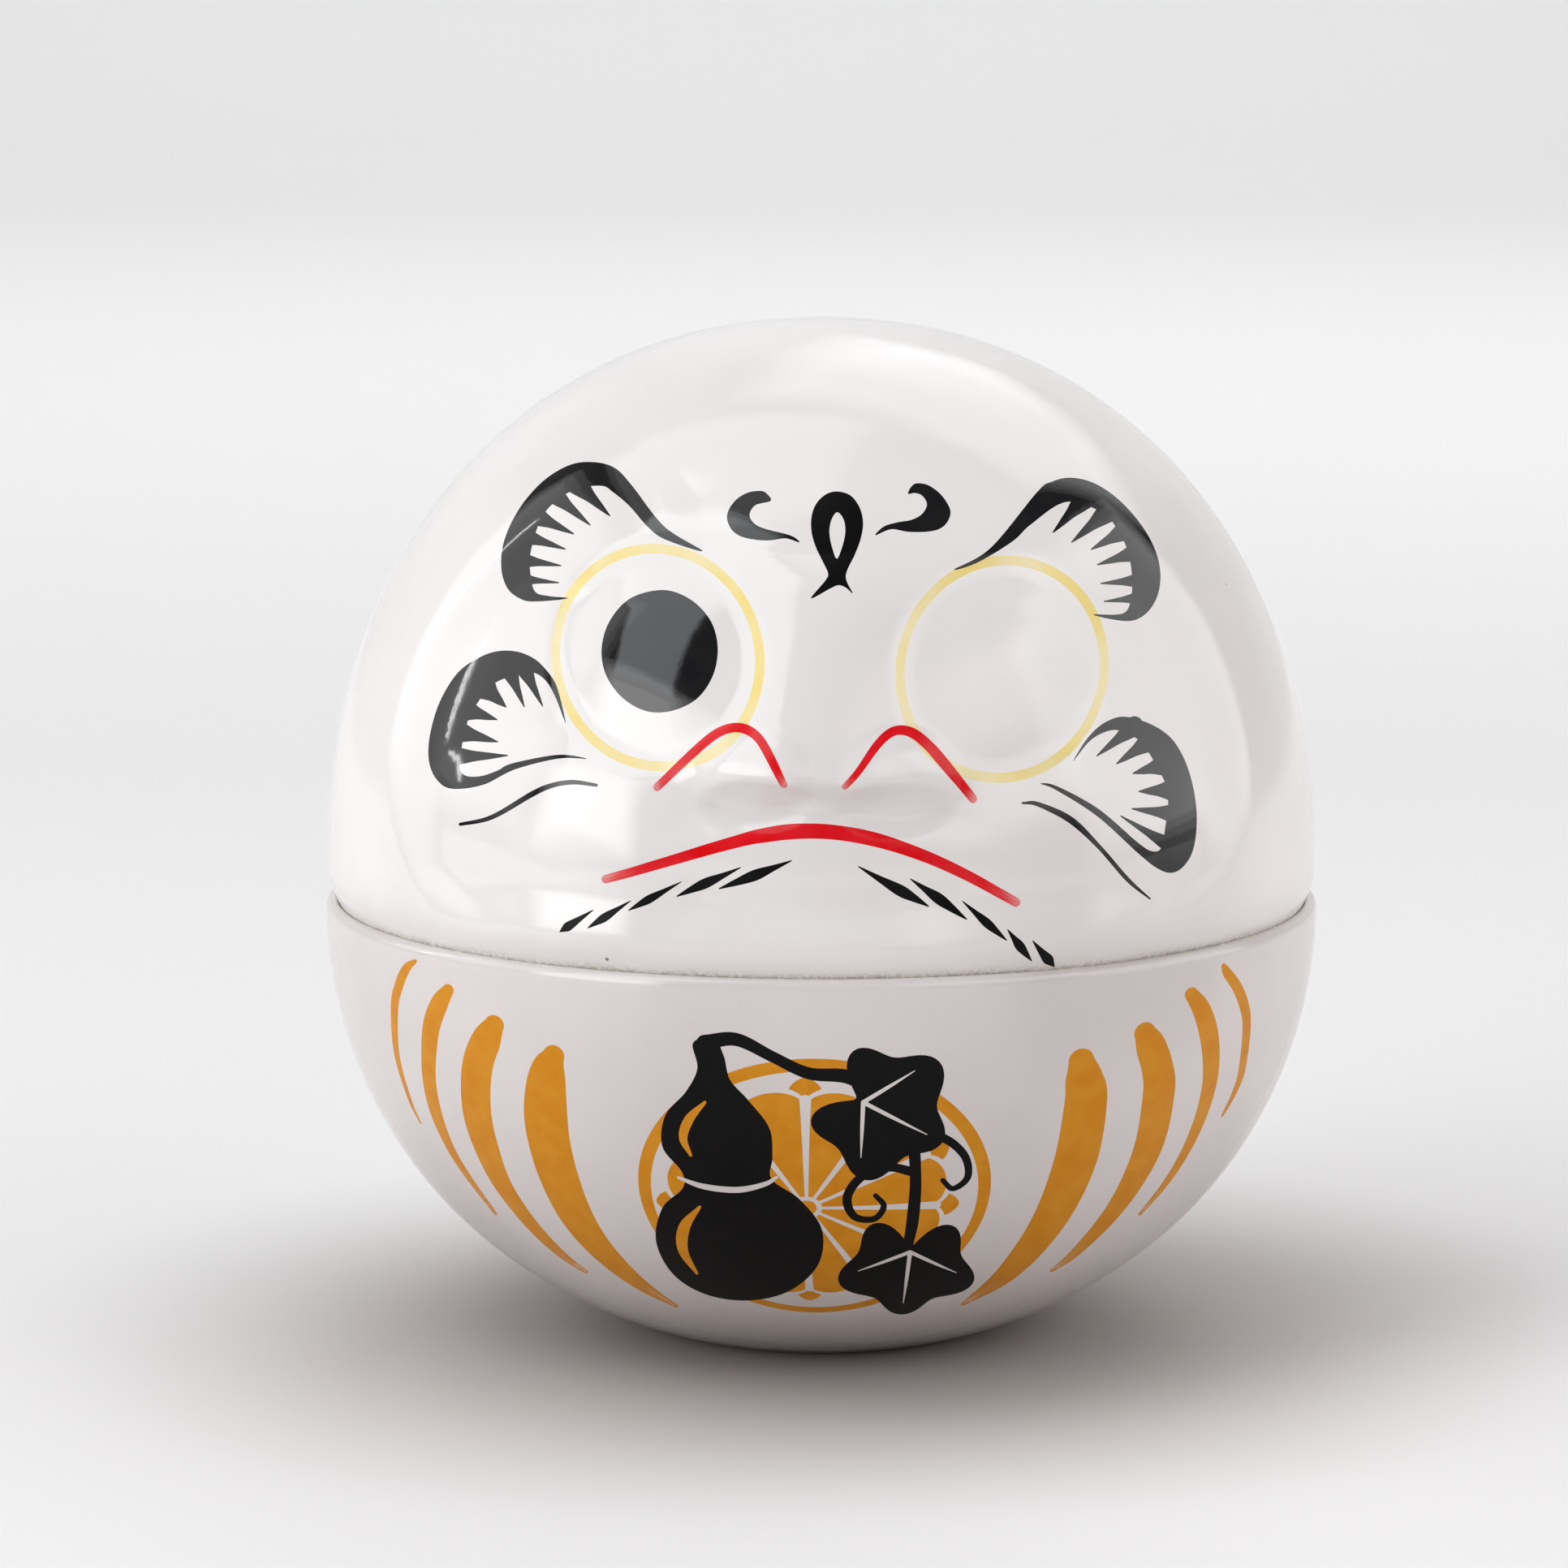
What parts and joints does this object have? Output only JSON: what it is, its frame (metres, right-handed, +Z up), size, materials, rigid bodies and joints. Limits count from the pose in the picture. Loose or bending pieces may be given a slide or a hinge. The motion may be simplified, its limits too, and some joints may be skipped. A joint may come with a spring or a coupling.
{
  "type": "daruma doll tea set",
  "caption": "Round daruma tumbler doll of glazed porcelain that lifts apart: the lower bowl is a teapot, the painted head is a cup, with a strainer lid and a small cup inside.",
  "frame": {"origin": "centre of the foot's bottom plane, on the axis that all four vessels share", "axes": "+Z up through the crown, -Y out of the face, +X to the doll's left, the viewer's right"},
  "size_m": [0.1, 0.1, 0.102],
  "materials": {
    "white_glaze": "glossy white glaze over cast porcelain, bare clay at the rims and foot, painted in black, red, gold and pale yellow enamel",
    "silicone": "translucent food-grade silicone, satin"
  },
  "bodies": {
    "pot": {"pot_bowl": "white_glaze"},
    "lid": {"lid_disc": "white_glaze", "lid_knob": "white_glaze", "lid_seal": "silicone"},
    "small_cup": {"small_cup": "white_glaze"},
    "head": {"head_cup": "white_glaze"}
  },
  "joints": [
    {"name": "lid_lift", "type": "slide", "parent": "pot", "child": "lid", "axis": [0, 0, 1], "range_m": [0, 0.05]},
    {"name": "cup_lift", "type": "slide", "parent": "lid", "child": "small_cup", "axis": [0, 0, 1], "range_m": [0, 0.06]},
    {"name": "head_lift", "type": "slide", "parent": "small_cup", "child": "head", "axis": [0, 0, 1], "range_m": [0, 0.07]}
  ]
}
